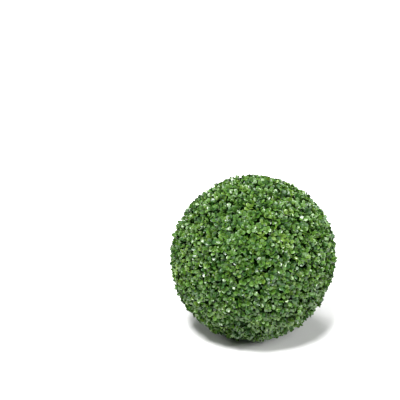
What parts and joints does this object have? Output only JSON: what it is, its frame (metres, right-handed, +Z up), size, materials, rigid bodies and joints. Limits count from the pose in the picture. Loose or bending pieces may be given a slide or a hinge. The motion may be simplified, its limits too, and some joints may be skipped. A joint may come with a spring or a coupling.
{
  "type": "artificial box topiary ball",
  "caption": "Clipped globe of small glossy green leaves, an artificial box topiary ball that rests on its flattened underside on the ground.",
  "frame": {"origin": "centre of the flat cut under the short stem, at ground level, below the middle of the ball", "axes": "+Z up through the ball's centre; +X and +Y level and equal, the ball has no front"},
  "size_m": [0.378, 0.3799, 0.3674],
  "materials": {
    "foliage": "glossy moulded leaves",
    "core": "matt, dark green-brown",
    "stem": "matt brown with moulded bark grain"
  },
  "bodies": {
    "root": {"stem": "stem", "core_lower_half": "core", "core_upper_half": "core", "foliage_lower_half": "foliage", "foliage_upper_half": "foliage"}
  },
  "joints": []
}
